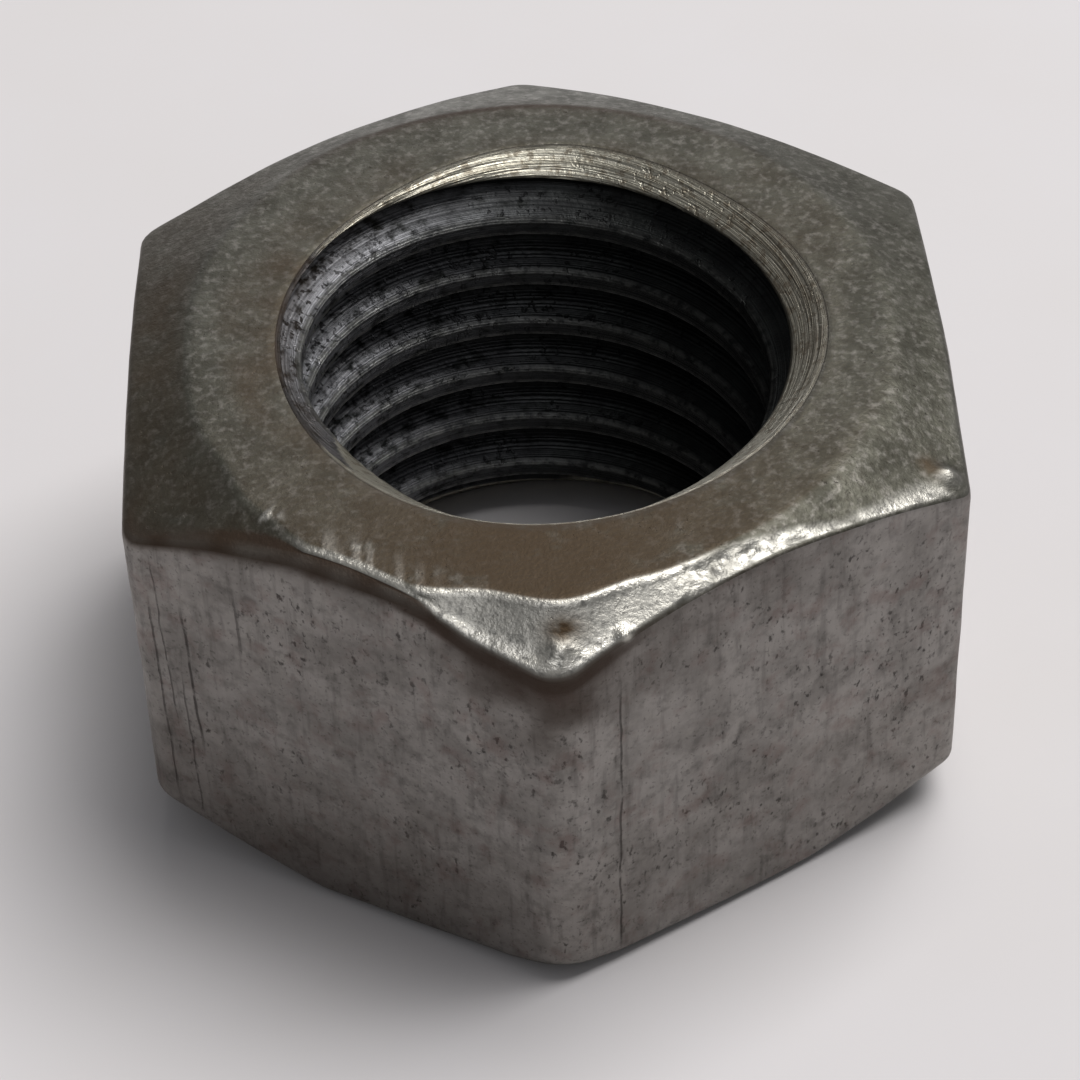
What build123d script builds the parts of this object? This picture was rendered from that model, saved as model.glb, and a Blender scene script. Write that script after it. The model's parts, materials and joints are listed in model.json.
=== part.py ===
"""Hex nut, 1 in. size: a hot-forged hexagon, turned and countersunk at both ends, tapped right-hand."""
from build123d import *
from build123d.topology import SkipClean
import os
from math import ceil, cos, radians, tan

# Driving dimensions, mm. The nut stands on its lower face, which lies on z = 0, with its thread on the
# Z axis and two of its corners on the Y axis.
across_flats = 38.1
nut_height = 21.8
corner_radius = 1.2            # forged round on the six upright corners
face_circle_d = 35.6           # flat face left inside the chamfer, the same at both ends
chamfer_angle = 30.0           # mean slope of the chamfer, measured from the flat face
chamfer_crown = 0.15           # how far the chamfer's face bulges from a straight cone
thread_major_d = 25.4
thread_pitch = 3.175
thread_angle = 60.0            # included angle of the thread form
groove_height_at_x = 0.5       # where the first whole groove crosses the +X side, above the lower face
lead_in_margin = 0.6           # how far each lead-in cone opens past the thread's major radius
lead_in_angle = 90.0           # included angle of the lead-in cones
bore_sector_count = 12         # the bore is opened in this many equal sectors

# The thread form that follows from its pitch: flat crests a quarter of it wide, roots an eighth.
flank_slope = tan(radians(thread_angle / 2))
crest_width = thread_pitch / 4
root_width = thread_pitch / 8
thread_depth = (thread_pitch - crest_width - root_width) / 2 / flank_slope
major_r = thread_major_d / 2
minor_r = major_r - thread_depth

# The lead-in cones run from each face down to the crests.
lead_in_r = major_r + lead_in_margin
lead_in_depth = (lead_in_r - minor_r) / tan(radians(lead_in_angle / 2))

# The turned envelope that gives both chamfers reaches past the corners of the hexagon.
across_corners = across_flats / cos(radians(30))
envelope_r = across_corners / 2 + corner_radius
face_circle_r = face_circle_d / 2
envelope_drop = (envelope_r - face_circle_r) * tan(radians(chamfer_angle))

# The groove starts a whole turn below the lower face and ends past the upper one. Its cutter reaches a
# little inside the crests, where its turns still stand clear of each other.
overrun = thread_pitch / 16
groove_start_z = groove_height_at_x - thread_pitch
groove_turns = ceil(nut_height / thread_pitch) + 2
mouth_r = minor_r - overrun
mouth_half = root_width / 2 + (major_r - mouth_r) * flank_slope

# One sector of the bore, from the axis out to the thread's crests.
sector_angle = 360 / bore_sector_count
with BuildPart() as bore_sector:
    with BuildSketch(Plane.XY):
        with BuildLine():
            rim = CenterArc((0, 0), minor_r, 0, sector_angle)
            Polyline(rim @ 0, (0, 0), rim @ 1)
        make_face()
    extrude(amount=nut_height)

# One whole turn of the thread's groove: a truncated vee swept up a helix, with its ends in one plane.
with BuildPart() as groove_turn:
    with BuildLine() as helix:
        Helix(thread_pitch, thread_pitch, minor_r)
    with BuildSketch(Plane.XZ) as groove:
        with BuildLine():
            Polyline(
                (mouth_r, -mouth_half),
                (major_r, -root_width / 2),
                (major_r, root_width / 2),
                (mouth_r, mouth_half),
                close=True,
            )
        make_face()
    sweep(groove.sketch, path=helix.wires()[0], is_frenet=True)

with BuildPart() as hex_nut:
    # Forged blank: a hexagonal prism with rounded upright corners.
    with BuildSketch(Plane.XY) as hexagon:
        RegularPolygon(across_flats / 2, 6, major_radius=False, rotation=30)
        fillet(hexagon.vertices(), corner_radius)
    extrude(amount=nut_height)

    # Turned ends: a crowned cone takes the corners down from a round flat face at each end.
    with BuildSketch(Plane.XZ) as envelope:
        with BuildLine():
            lower_chamfer = SagittaArc((face_circle_r, 0), (envelope_r, envelope_drop), -chamfer_crown)
            upper_chamfer = mirror(lower_chamfer, about=Plane.XZ.offset(-nut_height / 2))
            Polyline((face_circle_r, 0), (0, 0), (0, nut_height), (face_circle_r, nut_height))
            Line((envelope_r, envelope_drop), (envelope_r, nut_height - envelope_drop))
        make_face()
    revolve(axis=Axis.Z, mode=Mode.INTERSECT)

    # The sectors' walls stay separate faces, so that every crest is a chain of short arcs.
    with SkipClean():
        # Bore at the size of the thread's crests, opened sector by sector.
        with PolarLocations(0, bore_sector_count):
            add(bore_sector.part, clean=False, mode=Mode.SUBTRACT)

        # Lead-in cones at both ends, each narrowing from its face to the crests.
        for face_z, inward in ((0, 1), (nut_height, -1)):
            cone_end_z = face_z + inward * lead_in_depth
            with BuildSketch(Plane.XZ):
                with BuildLine():
                    Polyline(
                        (0, face_z),
                        (lead_in_r, face_z),
                        (minor_r, cone_end_z),
                        (0, cone_end_z),
                        close=True,
                    )
                make_face()
            revolve(axis=Axis.Z, clean=False, mode=Mode.SUBTRACT)

        # Right-hand thread: the groove's turns, end to end, cut from the wall of the bore.
        with Locations([(0, 0, groove_start_z + turn * thread_pitch) for turn in range(groove_turns)]):
            add(groove_turn.part, clean=False, mode=Mode.SUBTRACT)

hex_nut.part.label = "hex_nut"
print("thread: minor diameter %.2f, depth %.2f, crest width %.2f" % (2 * minor_r, thread_depth, crest_width))
print("lead-in depth %.2f, volume %.1f mm3" % (lead_in_depth, hex_nut.part.volume))

os.makedirs("parts", exist_ok=True)
export_step(hex_nut.part, "parts/hex_nut.step")
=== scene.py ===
"""Hex nut, 1 in. size: hot-forged, turned at both ends and tapped, in oiled self-colour steel."""
import json
import logging
from bisect import bisect_right
from dataclasses import dataclass, field, replace
from enum import Enum
from math import atan2, cos, degrees, exp, hypot, pi, radians, sin, sqrt, tan

import bmesh
import bpy
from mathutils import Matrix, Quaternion, Vector, noise


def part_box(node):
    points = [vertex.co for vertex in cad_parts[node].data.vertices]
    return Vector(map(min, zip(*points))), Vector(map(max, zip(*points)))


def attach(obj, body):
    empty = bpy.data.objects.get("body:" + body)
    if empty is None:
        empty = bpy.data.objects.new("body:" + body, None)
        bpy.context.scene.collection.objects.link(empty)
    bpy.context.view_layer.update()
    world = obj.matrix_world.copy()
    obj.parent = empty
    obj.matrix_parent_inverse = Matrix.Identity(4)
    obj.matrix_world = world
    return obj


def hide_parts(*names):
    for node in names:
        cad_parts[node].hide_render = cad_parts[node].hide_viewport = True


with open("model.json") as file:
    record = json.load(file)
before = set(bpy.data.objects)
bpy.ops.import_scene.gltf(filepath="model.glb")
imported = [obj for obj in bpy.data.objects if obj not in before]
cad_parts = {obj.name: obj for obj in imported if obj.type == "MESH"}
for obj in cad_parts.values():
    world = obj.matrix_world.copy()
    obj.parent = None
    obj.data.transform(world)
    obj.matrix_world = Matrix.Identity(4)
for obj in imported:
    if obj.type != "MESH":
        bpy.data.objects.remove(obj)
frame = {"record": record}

LOG = logging.getLogger("hex_nut")
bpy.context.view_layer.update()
MM = 0.001                       # one millimetre in the scene's metres
MERGE_GAP = 1e-3                 # vertices nearer than this are one, in millimetres
CUT_GAP = 1e-4                   # vertices nearer to a cut than this lie on it, in millimetres
SIDE_TURN = 60.0                 # from one corner of the hexagon to the next, in degrees
HALF_TURN = SIDE_TURN / 2        # and from a corner to the middle of a flat


class Zone(Enum):
    """The three surfaces of the nut, in the order of its material slots."""

    FLATS = 0
    ENDS = 1
    BORE = 2


def smooth_step(low: float, high: float, value: float) -> float:
    """Eases from 0 at low to 1 at high.

    Args:
        low: Where the result leaves 0.
        high: Where the result reaches 1.
        value: The value to ease.

    Returns:
        A number from 0 to 1.
    """
    share = min(max((value - low) / (high - low), 0.0), 1.0)
    return share * share * (3 - 2 * share)


def angle_between(angle: float, other: float) -> float:
    """Measures from one angle to another the short way round.

    Args:
        angle: Angle in degrees.
        other: Angle in degrees that it is measured from.

    Returns:
        The difference, from -180 to 180 degrees.
    """
    return (angle - other + 180) % 360 - 180


def bell(value: float, middle: float, half_width: float) -> float:
    """Rises smoothly to 1 at a middle value and falls away on both sides.

    Args:
        value: The value to ease.
        middle: Where the result is 1.
        half_width: Distance from the middle at which it is down to about a third.

    Returns:
        A number from 0 to 1.
    """
    return exp(-(((value - middle) / half_width) ** 2))


def hump(angle: float, centre: float, half_width: float) -> float:
    """Rises smoothly to 1 at one angle round the nut and falls away on both sides.

    Args:
        angle: Angle round the nut, in degrees.
        centre: Angle of the top of the hump, in degrees.
        half_width: Angle from the centre at which the hump is down to about a third.

    Returns:
        A number from 0 to 1.
    """
    return bell(angle_between(angle, centre), 0, half_width)


def ripple(point: Vector, size: float, offset: float = 0.0) -> float:
    """Gives smooth noise whose lumps have a real size.

    Args:
        point: Place on the nut, in millimetres.
        size: Distance from lump to lump, in millimetres.
        offset: Moves the pattern, so that two patterns of one size differ.

    Returns:
        A number from about -1 to 1.
    """
    return noise.noise(point / size + Vector((offset, 1.7 * offset, -offset)))


def spin_round(section: bmesh.types.BMesh, columns: int, sectors: int, rise: float) -> None:
    """Spins a section through one sector of a turn, then sets copies of the sector round the axis.

    Args:
        section: A mesh that holds the section alone, and takes the spun shape.
        columns: Steps in the whole turn, a multiple of the sectors.
        sectors: Sectors in the whole turn.
        rise: How far the section climbs in the whole turn.
    """
    sector_angle = 2 * pi / sectors
    bmesh.ops.spin(
        section, geom=section.verts[:] + section.edges[:], cent=(0, 0, 0), axis=(0, 0, 1),
        dvec=(0, 0, rise / columns), angle=sector_angle, steps=columns // sectors, use_merge=False,
    )
    bmesh.ops.spin(
        section, geom=section.verts[:] + section.edges[:] + section.faces[:], cent=(0, 0, 0), axis=(0, 0, 1),
        dvec=(0, 0, rise / sectors), angle=2 * pi - sector_angle, steps=sectors - 1, use_duplicate=True,
    )
    bmesh.ops.remove_doubles(section, verts=section.verts[:], dist=MERGE_GAP)


def add_mesh(shell: bmesh.types.BMesh, part: bmesh.types.BMesh) -> None:
    """Moves one mesh into another.

    Args:
        shell: The mesh that grows.
        part: The mesh that goes into it, and is freed.
    """
    carrier = bpy.data.meshes.new("carrier")
    part.to_mesh(carrier)
    part.free()
    shell.from_mesh(carrier)
    bpy.data.meshes.remove(carrier)


@dataclass(frozen=True)
class Band:
    """A stretch of angles, or of stations down the section, that fades in and out."""

    start: float
    full_from: float
    full_to: float
    end: float

    def at(self, value: float) -> float:
        """Gives the band's share at one value, from 0 to 1."""
        return smooth_step(self.start, self.full_from, value) * smooth_step(self.end, self.full_to, value)


@dataclass(frozen=True)
class Line:
    """A soft line at one station down the section, or a soft region round one angle."""

    middle: float
    half_width: float

    def at(self, station: float) -> float:
        """Gives the line's share at one station, from 0 to 1."""
        return bell(station, self.middle, self.half_width)

    def round(self, angle: float) -> float:
        """Gives the region's share at one angle round the nut, from 0 to 1."""
        return hump(angle, self.middle, self.half_width)


@dataclass(frozen=True)
class Waves:
    """Uneven lumps on a surface: their height, width and where the pattern starts, in millimetres."""

    height: float
    size: float
    offset: float = 0.0

    def at(self, point: Vector) -> float:
        """Gives the height at one point, from about minus to plus the waves' own."""
        return self.height * ripple(point, self.size, self.offset)


@dataclass(frozen=True)
class RimStation:
    """How an end of the nut is formed at one angle round it, in degrees and millimetres."""

    angle: float
    face_r: float
    slope: float
    round_in: float
    round_down: float


@dataclass
class Rim:
    """One end's chamfer and worn edge, eased from station to station round the nut."""

    stations: list[RimStation]

    def at(self, angle: float) -> tuple[float, float, float, float]:
        """Eases between the two stations on either side of an angle.

        Args:
            angle: Angle round the nut, in degrees.

        Returns:
            Radius of the flat face, the chamfer's rise per unit, and how far the edge's round reaches
            up the chamfer and down the flat.
        """
        first = self.stations[0].angle
        turned = (angle - first) % 360 + first
        angles = [station.angle for station in self.stations]
        index = bisect_right(angles, turned) - 1
        here = self.stations[index]
        after = self.stations[(index + 1) % len(self.stations)]
        share = smooth_step(0.0, (after.angle - here.angle) % 360, turned - here.angle)
        face_r = here.face_r + (after.face_r - here.face_r) * share
        slope = here.slope + (after.slope - here.slope) * share
        round_in = here.round_in + (after.round_in - here.round_in) * share
        round_down = here.round_down + (after.round_down - here.round_down) * share
        return face_r, tan(radians(slope)), round_in, round_down


@dataclass(frozen=True)
class Countersink:
    """The edge of a lead-in cone, which a drill press left off the thread's axis, in millimetres."""

    plain_r: float
    swells: tuple[tuple[float, float, float], ...] = ()      # height, angle and half width of each

    def at(self, angle: float) -> float:
        """Gives the edge's radius at one angle round the nut, in degrees."""
        return self.plain_r + sum(height * hump(angle, middle, half) for height, middle, half in self.swells)


@dataclass
class ForgedHexagon:
    """The outside of the nut: six forged flats between two turned ends, in millimetres."""

    across_flats: float
    height: float
    mouths: tuple[Countersink, Countersink]
    rim_wear: float
    columns: int = 480
    sectors: int = 6
    front_angle: float = -90.0
    crowding: float = 0.35           # how much closer the columns stand at the front corner
    corner_rounds: tuple[float, ...] = (1.2, 1.2, 1.2, 1.5, 2.2, 0.7)   # from the corner at 30 degrees on
    face_blend: float = 0.35
    blend_share: float = 0.4         # the most of a chamfer that its blend may take
    soft_blend: float = 0.5          # how much longer the blend is at the softest corner
    soft_corner: Line = Line(-32, 16)
    rows: tuple[int, ...] = (9, 4, 8, 6, 46, 6, 6, 3, 7)                # rows of faces in each span
    knots: tuple[int, ...] = (0, 1, 3, 4, 6, 7, 9, 10, 12, 13)          # the corners where spans meet
    upper: Rim = field(default_factory=lambda: Rim([
        RimStation(-150, 16.8, 27, 0.45, 0.60),
        RimStation(-136, 17.6, 27, 0.60, 0.80),
        RimStation(-120, 18.25, 24, 0.75, 0.95),
        RimStation(-107, 18.6, 33, 0.45, 0.90),
        RimStation(-100, 18.35, 38, 0.45, 0.90),
        RimStation(-89, 19.0, 40, 0.50, 1.00),
        RimStation(-78, 18.2, 32, 0.40, 0.70),
        RimStation(-60, 17.6, 22, 0.30, 0.40),
        RimStation(-45, 17.4, 26, 0.30, 0.35),
        RimStation(-30, 17.1, 26, 0.40, 0.45),
        RimStation(0, 16.5, 21, 0.30, 0.40),
        RimStation(30, 16.6, 21, 0.40, 0.45),
        RimStation(60, 16.85, 21, 0.30, 0.40),
        RimStation(90, 17.1, 22, 0.40, 0.45),
        RimStation(120, 17.0, 22, 0.30, 0.40),
        RimStation(150, 16.5, 23, 0.40, 0.45),
        RimStation(180, 16.1, 20, 0.35, 0.40),
    ]))
    lower: Rim = field(default_factory=lambda: Rim([
        RimStation(-150, 17.2, 30, 0.55, 0.60),
        RimStation(-120, 18.7, 30, 0.30, 0.40),
        RimStation(-90, 19.9, 30, 0.60, 0.80),
        RimStation(-60, 18.7, 30, 0.30, 0.40),
        RimStation(-30, 17.9, 30, 0.55, 0.60),
        RimStation(0, 17.8, 30, 0.35, 0.40),
        RimStation(30, 17.8, 30, 0.40, 0.45),
        RimStation(90, 17.8, 30, 0.40, 0.45),
        RimStation(150, 17.5, 30, 0.45, 0.50),
        RimStation(180, 17.7, 30, 0.35, 0.40),
    ]))

    def outline_r(self, angle: float) -> float:
        """Measures from the axis to the hexagon's side, with its corners rounded.

        Args:
            angle: Angle round the nut, in degrees.

        Returns:
            The radius in millimetres.
        """
        corner = round((angle - HALF_TURN) / SIDE_TURN)
        from_corner = radians(angle - HALF_TURN - SIDE_TURN * corner)
        corner_round = self.corner_rounds[corner % 6]
        half_flats = self.across_flats / 2
        to_flat = radians(HALF_TURN)
        centre = (half_flats - corner_round) / cos(to_flat)
        arc_end = atan2(corner_round * sin(to_flat), centre + corner_round * cos(to_flat))
        if abs(from_corner) < arc_end:
            return centre * cos(from_corner) + sqrt(corner_round**2 - (centre * sin(from_corner)) ** 2)
        return half_flats / cos(to_flat - abs(from_corner))

    def section(self, angle: float) -> list[Vector]:
        """Gives the section's corners at one angle, as radius and height.

        Args:
            angle: Angle round the nut, in degrees.

        Returns:
            The mouth's edge, then the two ends and the crossing point of each blend, from the top
            face outward, down the flat and back to the lower mouth.
        """
        side_r = self.outline_r(angle)
        upper_mouth, lower_mouth = (mouth.at(angle) + self.rim_wear for mouth in self.mouths)
        corners = [Vector((upper_mouth, self.height))]
        for rim, end_z, inward in ((self.upper, self.height, -1), (self.lower, 0.0, 1)):
            face_r, rise, round_in, round_down = rim.at(angle)
            face_r = min(face_r, side_r - round_in - self.face_blend)
            edge = Vector((side_r, end_z + inward * (side_r - face_r) * rise))
            face = Vector((face_r, end_z))
            out = (edge - face).normalized()
            blend = self.face_blend + self.soft_blend * self.soft_corner.round(angle)
            blend = min(blend, self.blend_share * (edge - face).length)
            run = [face - Vector((blend, 0)), face, face + out * blend]
            run += [edge - out * round_in, edge, edge + Vector((0, inward * round_down))]
            corners += run if inward < 0 else run[::-1]
        corners.append(Vector((lower_mouth, 0)))
        return corners

    def place(self, corners: list[Vector], station: float) -> Vector:
        """Finds the point of a section that a running station stands for.

        Args:
            corners: The section's corners, from section().
            station: From 0 at the upper mouth to 9 at the lower one; every second span is a blend.

        Returns:
            Radius and height of the point.
        """
        span = min(int(station), len(self.rows) - 1)
        share = station - span
        first = self.knots[span]
        if span % 2 == 0:
            return corners[first].lerp(corners[self.knots[span + 1]], share)
        start, cross, end = corners[first: first + 3]
        return start.lerp(cross, share).lerp(cross.lerp(end, share), share)

    def build(self) -> bmesh.types.BMesh:
        """Spins a turned blank and draws it out to the hexagon.

        Returns:
            The skin, open at both mouths.
        """
        skin = bmesh.new()
        station = skin.verts.layers.float.new("station")
        corners = self.section(0)
        chain = []
        for index in range(len(self.knots)):
            point = self.place(corners, index)
            vert = skin.verts.new((point.x, 0, point.y))
            vert[station] = index
            chain.append(vert)
        edges = [skin.edges.new(pair) for pair in zip(chain, chain[1:])]
        for edge, count in zip(edges, self.rows):
            bmesh.ops.subdivide_edges(skin, edges=[edge], cuts=count - 1)
        spin_round(skin, self.columns, self.sectors, 0.0)
        sections = {}
        for vert in skin.verts:
            turn = atan2(vert.co.y, vert.co.x)
            turn -= self.crowding * sin(turn - radians(self.front_angle))
            angle = degrees(turn)
            key = round(angle, 4)
            if key not in sections:
                sections[key] = self.section(angle)
            point = self.place(sections[key], vert[station])
            vert.co = Vector((point.x * cos(turn), point.x * sin(turn), point.y))
        return skin


@dataclass
class TappedBore:
    """The bore: a right-hand thread between two lead-in cones, in millimetres."""

    height: float
    minor_r: float
    mouths: tuple[Countersink, Countersink]
    rim_drop: float
    major_r: float = 12.7
    pitch: float = 3.175
    groove_z: float = 0.5            # height of a groove's middle on the +X side
    columns: int = 340
    sectors: int = 5
    form: tuple[float, ...] = (0, 1 / 16, 3 / 8, 5 / 8, 15 / 16, 1)     # half root, flank, crest and on
    spans: tuple[int, ...] = (1, 6, 4, 6, 1)                            # rows of faces in each
    tear: float = 0.06               # how much a worn tap tears off the crests
    tear_waves: Waves = Waves(0.5, 1.1)
    chatter: Waves = Waves(0.02, 0.5, 3)
    cone_waver: Waves = Waves(0.015, 1.5, 7)
    cone_fade: float = 0.08          # how deep a cone is cut where it hides the thread

    def phase(self, point: Vector) -> float:
        """Measures how far a point stands above the nearest groove below it, in pitches.

        Args:
            point: Place in the bore.

        Returns:
            A share of the pitch from 0 to 1; the crest's middle is at 0.5.
        """
        turn = atan2(point.y, point.x) / (2 * pi)
        return ((point.z - self.groove_z) / self.pitch - turn) % 1.0

    def build(self) -> bmesh.types.BMesh:
        """Spins one pitch's section up its helix, cuts it off at both ends and opens the cones.

        Returns:
            The bore's wall, open at both ends.
        """
        wall = bmesh.new()
        in_bore = wall.verts.layers.float.new("bore")
        wall.verts.layers.float.new("cone")
        radii = (self.major_r, self.major_r, self.minor_r, self.minor_r, self.major_r, self.major_r)
        start_z = self.groove_z - 2 * self.pitch
        turns = int((self.height - start_z) / self.pitch) + 2
        heights = [start_z + self.pitch * share for share in self.form]
        first = [wall.verts.new((radius, 0, height)) for radius, height in zip(radii, heights)]
        edges = [wall.edges.new(pair) for pair in zip(first, first[1:])]
        for edge, count in zip(edges, self.spans):
            if count > 1:
                bmesh.ops.subdivide_edges(wall, edges=[edge], cuts=count - 1)
        one_turn = wall.verts[:] + wall.edges[:]
        for turn in range(1, turns):
            copy = bmesh.ops.duplicate(wall, geom=one_turn)["geom"]
            rising = [part for part in copy if isinstance(part, bmesh.types.BMVert)]
            bmesh.ops.translate(wall, verts=rising, vec=Vector((0, 0, turn * self.pitch)))
        bmesh.ops.remove_doubles(wall, verts=wall.verts[:], dist=MERGE_GAP)
        spin_round(wall, self.columns, self.sectors, self.pitch)
        for cut_z, outer in ((self.rim_drop, False), (self.height - self.rim_drop, True)):
            bmesh.ops.bisect_plane(
                wall, geom=wall.verts[:] + wall.edges[:] + wall.faces[:], dist=CUT_GAP,
                plane_co=(0, 0, cut_z), plane_no=(0, 0, 1), clear_outer=outer, clear_inner=not outer,
            )
        for vert in wall.verts:
            vert[in_bore] = 1.0
            vert[wall.verts.layers.float["cone"]] = self._cut(vert)
        return wall

    def _cut(self, vert: bmesh.types.BMVert) -> float:
        """Tears the thread a little, as a worn tap does, and opens it out to the lead-in cones.

        Args:
            vert: A vertex of the bore, moved along its radius.

        Returns:
            How surely the vertex is on a cone, from 0 to 1.
        """
        radius = hypot(vert.co.x, vert.co.y)
        from_end = min(vert.co.z, self.height - vert.co.z)
        depth = (radius - self.minor_r) / (self.major_r - self.minor_r)
        wear = 0.5 + self.tear_waves.at(vert.co)
        torn = radius + (1 - depth) * self.tear * wear + self.chatter.at(vert.co)
        mouth = self.mouths[0] if vert.co.z > self.height / 2 else self.mouths[1]
        mouth_r = mouth.at(degrees(atan2(vert.co.y, vert.co.x)))
        cone = mouth_r - from_end + self.cone_waver.at(vert.co)
        new_radius = max(torn, cone) if from_end > self.rim_drop + MERGE_GAP else mouth_r - from_end
        vert.co.x *= new_radius / radius
        vert.co.y *= new_radius / radius
        return smooth_step(0.0, self.cone_fade, new_radius - torn)


@dataclass(frozen=True)
class Lump:
    """A burr or dent: its middle, its half sizes along three axes and its height, in millimetres."""

    centre: tuple[float, float, float]
    spread: tuple[float, float, float]
    height: float

    def at(self, point: Vector) -> float:
        """Gives the lump's height over one point.

        Args:
            point: Place on the nut.

        Returns:
            The height in millimetres.
        """
        away = sum(((place - mid) / half) ** 2 for place, mid, half in zip(point, self.centre, self.spread))
        return self.height * exp(-away) if away < 9 else 0.0


@dataclass
class ForgeMarks:
    """What forging, knocks and wear leave on the skin, with the painted shade that rides on the dark mask, in
    millimetres, degrees and stations.

    A station runs down the section: 0 at the upper mouth, 1 to 2 where the upper face blends into the
    chamfer, 3 to 4 the chamfer's worn edge, 4 to 5 the forged flat, and so on to 9 at the lower mouth.
    """

    burr: Lump = Lump((0.15, -20.65, 20.5), (0.60, 0.28, 0.40), 0.45)
    tip_burr: Lump = Lump((-0.2, -21.15, 20.1), (0.9, 0.28, 0.30), 0.30)
    side_burr: Lump = Lump((2.95, -20.0, 20.6), (0.35, 0.28, 0.30), 0.28)
    corner_lump: Lump = Lump((17.95, -10.4, 20.05), (0.50, 0.45, 0.50), 0.55)
    corner_notch: Lump = Lump((17.2, -10.0, 20.4), (0.45, 0.50, 0.60), 1.0)
    rust_spot: Lump = Lump((0.35, -19.9, 21.0), (0.85, 0.55, 0.60), 1.0)
    front_scuff: Lump = Lump((-12.2, -12.6, 21.8), (0.9, 0.6, 0.6), 1.0)
    left_scuff: Lump = Lump((-15.0, -1.5, 21.8), (0.5, 0.9, 0.6), 0.8)
    upper_half: float = 4.5                               # the station half way down the flats
    side_run: Band = Band(3.2, 4.2, 4.9, 5.8)
    side_sink: float = 0.02
    side_waves: tuple[Waves, ...] = (Waves(0.05, 9), Waves(0.035, 3.1, 5), Waves(0.012, 1.1, 9))
    face_sink: float = 0.008
    face_waves: Waves = Waves(0.008, 4)
    chamfer_sink: float = 0.03
    chamfer_waves: Waves = Waves(0.03, 2.4, 2)
    beaten_turn: Band = Band(-78, -70, -36, -31)
    beaten_sink: float = 0.06
    beaten_waves: tuple[Waves, ...] = (Waves(0.10, 0.9, 4), Waves(0.12, 0.45, 8))
    dish_turn: Line = Line(-90, 13)                       # the dish in the facet at the front corner
    dish_run: Band = Band(1.7, 2.1, 2.9, 3.3)
    dish_sink: float = 0.10
    dish_waves: Waves = Waves(0.05, 1.6, 6)
    burr_waves: Waves = Waves(0.35, 0.4, 1)
    broken_waves: Waves = Waves(0.5, 1.4, 11)
    fine_waves: Waves = Waves(0.5, 0.45, 15)
    corner_rub: Line = Line(0, 5)                         # from each lower corner, whichever it is
    lower_edge: Line = Line(5.6, 0.35)
    upper_edge: Line = Line(3.2, 0.4)
    left_edge_turn: Band = Band(-133, -118, -84, -74)
    left_edge: Line = Line(-0.22, 0.32)                   # as stations from the start of the lip's dark side
    facet_turn: Band = Band(-109, -104, -74, -66)
    facet_run: Band = Band(1.25, 1.7, 3.05, 3.3)
    rim_line_turn: Band = Band(-111, -106, -74, -62)
    rim_line: Line = Line(1.65, 0.35)                     # along the facet's inner rim
    thin_line_turn: Band = Band(-50, -42, -34, -30)
    thin_line: Line = Line(2.95, 0.22)                    # the beaten band's thin end, by the right corner
    scratched_turn: Line = Line(-116, 13)
    scratched_run: Band = Band(0.62, 0.95, 1.6, 2.0)
    scratch_gap: float = 0.42                             # from scratch to scratch on the left of the facet
    scratch_length: float = 6.0
    scuff_waves: Waves = Waves(1.0, 0.5, 23)
    # the band under the rolled lip: old scale, and painted shade under the lip
    lip_scale_and_shade_turn: Band = Band(-157, -150, -62, -44)
    lip_scale_and_shade_waves: Waves = Waves(0.12, 1.6, 3)
    # a dark line round the back where the face meets the chamfer
    back_ring_turn: Line = Line(95, 38)
    back_ring: Line = Line(1.45, 0.45)
    # the left-front flat darker towards its lower edge: oil stain and painted shade
    lower_stain_and_shade_turn: Line = Line(-124, 28)
    mouth_depth: tuple[float, float] = (2.4, 0.4)         # where the mouth's stain starts and is full
    mouth_stains: tuple[tuple[float, Line], ...] = ((1.0, Line(180, 42)), (0.75, Line(5, 42)))
    mouth_waves: Waves = Waves(0.3, 1.5, 19)
    left_stain_turn: Line = Line(180, 45)
    left_stain_waves: Waves = Waves(0.3, 2.0, 13)
    front_stain_turn: Line = Line(-92, 46)
    rim_stain_turn: Line = Line(-170, 45)
    rim_stain_radii: tuple[float, float] = (15.6, 13.6)   # where the stain round the mouth starts and is full
    rim_stain_waves: Waves = Waves(0.6, 1.8, 17)
    right_stain_turn: Line = Line(30, 24)
    right_stain_waves: Waves = Waves(0.8, 2.5, 31)
    stained_chamfer: Band = Band(1.6, 2.4, 3.6, 4.1)
    side_rust: float = 0.1                                # the faint stain of the flats and the underside
    deepest_rust: float = 1.5                             # past 1, even clean patches turn brown

    def relief(self, point: Vector, angle: float, station: float) -> float:
        """Gives how far a point of the skin stands off its plain form.

        Args:
            point: Place on the skin.
            angle: Its angle round the nut, in degrees.
            station: Its running station down the section.

        Returns:
            The height along the surface's normal; most of it is inward.
        """
        side = self.side_run.at(station)
        height = -side * (self.side_sink + sum(waves.at(point) for waves in self.side_waves))
        is_upper = station < self.upper_half
        outer = smooth_step(1.6, 2.6, station) if is_upper else smooth_step(7.6, 6.6, station)
        turned = self.face_sink + self.face_waves.at(point)
        turned += outer * (self.chamfer_sink + self.chamfer_waves.at(point))
        height -= (1 - side) * turned
        if is_upper:
            beaten = sum(waves.at(point) for waves in self.beaten_waves) - self.beaten_sink
            height += self.hammered(angle, station) * beaten
            dish = self.dish_turn.round(angle) * self.dish_run.at(station)
            height -= dish * (self.dish_sink + self.dish_waves.at(point))
            for lump in (self.burr, self.tip_burr, self.side_burr, self.corner_lump):
                height += lump.at(point) * (1 + self.burr_waves.at(point))
        return height

    def hammered(self, angle: float, station: float) -> float:
        """Marks the beaten band along one flat's upper edge.

        Args:
            angle: Angle round the nut, in degrees.
            station: Running station down the section.

        Returns:
            The band's share, from 0 to 1; it narrows away from the front corner.
        """
        upper = 1.45 + 1.25 * smooth_step(-66, -42, angle)
        lower = 3.3 - 0.35 * smooth_step(-72, -62, angle)
        return self.beaten_turn.at(angle) * Band(upper, upper + 0.6, lower, lower + 0.3).at(station)

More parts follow.
